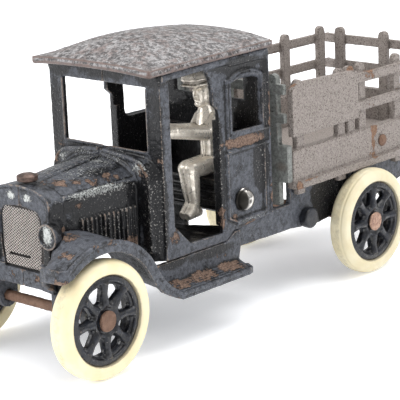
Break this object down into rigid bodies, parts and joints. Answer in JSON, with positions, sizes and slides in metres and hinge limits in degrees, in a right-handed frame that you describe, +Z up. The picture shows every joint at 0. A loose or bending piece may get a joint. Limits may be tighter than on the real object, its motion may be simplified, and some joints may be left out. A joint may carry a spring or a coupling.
{
  "type": "toy truck",
  "caption": "Cast iron toy stake truck with an open cab, seated driver, domed roof, slatted load bed and ivory rubber tyred wheels that turn on pinned axles.",
  "frame": {"origin": "centre of the bounding box at the ground, where the tyres stand", "axes": "+Z up, +X to the truck's left, the radiator faces -Y and the tail rack faces +Y"},
  "size_m": [0.11, 0.3376, 0.1584],
  "materials": {
    "black_iron": "worn gloss black paint with rust chips",
    "grey_iron": "worn warm grey paint with rust specks",
    "rusty_steel": "bare steel gone brown with rust",
    "nickel": "worn satin nickel plate",
    "bronze": "dark bronzed metal",
    "ivory_rubber": "matt ivory rubber with grime at the shoulders"
  },
  "bodies": {
    "truck": {"body_left": "black_iron", "body_right": "black_iron", "chassis_left": "black_iron", "chassis_right": "black_iron", "roof": "black_iron", "radiator_grille": "nickel", "radiator_cap": "bronze", "cab_rivet": "nickel", "seat": "black_iron", "cab_floor": "black_iron", "driver": "nickel", "bed_floor": "grey_iron", "side_rack_left": "grey_iron", "side_rack_right": "grey_iron", "front_rack": "grey_iron", "bed_rivet_left": "rusty_steel", "bed_rivet_right": "rusty_steel", "chassis_tie_rod": "black_iron"},
    "front_axle": {"axle_front": "rusty_steel"},
    "rear_axle": {"axle_rear": "rusty_steel"},
    "front_left_wheel": {"wheel_front_left": "black_iron", "tyre_front_left": "ivory_rubber"},
    "front_right_wheel": {"wheel_front_right": "black_iron", "tyre_front_right": "ivory_rubber"},
    "rear_left_wheel": {"wheel_rear_left": "black_iron", "tyre_rear_left": "ivory_rubber"},
    "rear_right_wheel": {"wheel_rear_right": "black_iron", "tyre_rear_right": "ivory_rubber"},
    "tail_rack": {"tail_rack": "grey_iron"}
  },
  "joints": [
    {"name": "front_axle_turn", "type": "hinge", "parent": "truck", "child": "front_axle", "pos_m": [0, -0.1378, 0.031], "axis": [1, 0, 0], "continuous": true},
    {"name": "front_left_wheel_turn", "type": "hinge", "parent": "front_axle", "child": "front_left_wheel", "pos_m": [0.0488, -0.1378, 0.031], "axis": [1, 0, 0], "continuous": true},
    {"name": "front_right_wheel_turn", "type": "hinge", "parent": "front_axle", "child": "front_right_wheel", "pos_m": [-0.0488, -0.1378, 0.031], "axis": [1, 0, 0], "continuous": true},
    {"name": "rear_axle_turn", "type": "hinge", "parent": "truck", "child": "rear_axle", "pos_m": [0, 0.0826, 0.031], "axis": [1, 0, 0], "continuous": true},
    {"name": "rear_left_wheel_turn", "type": "hinge", "parent": "rear_axle", "child": "rear_left_wheel", "pos_m": [0.0488, 0.0826, 0.031], "axis": [1, 0, 0], "continuous": true},
    {"name": "rear_right_wheel_turn", "type": "hinge", "parent": "rear_axle", "child": "rear_right_wheel", "pos_m": [-0.0488, 0.0826, 0.031], "axis": [1, 0, 0], "continuous": true},
    {"name": "tail_rack_lift", "type": "slide", "parent": "truck", "child": "tail_rack", "axis": [0, 0, 1], "range_m": [0, 0.01]}
  ]
}
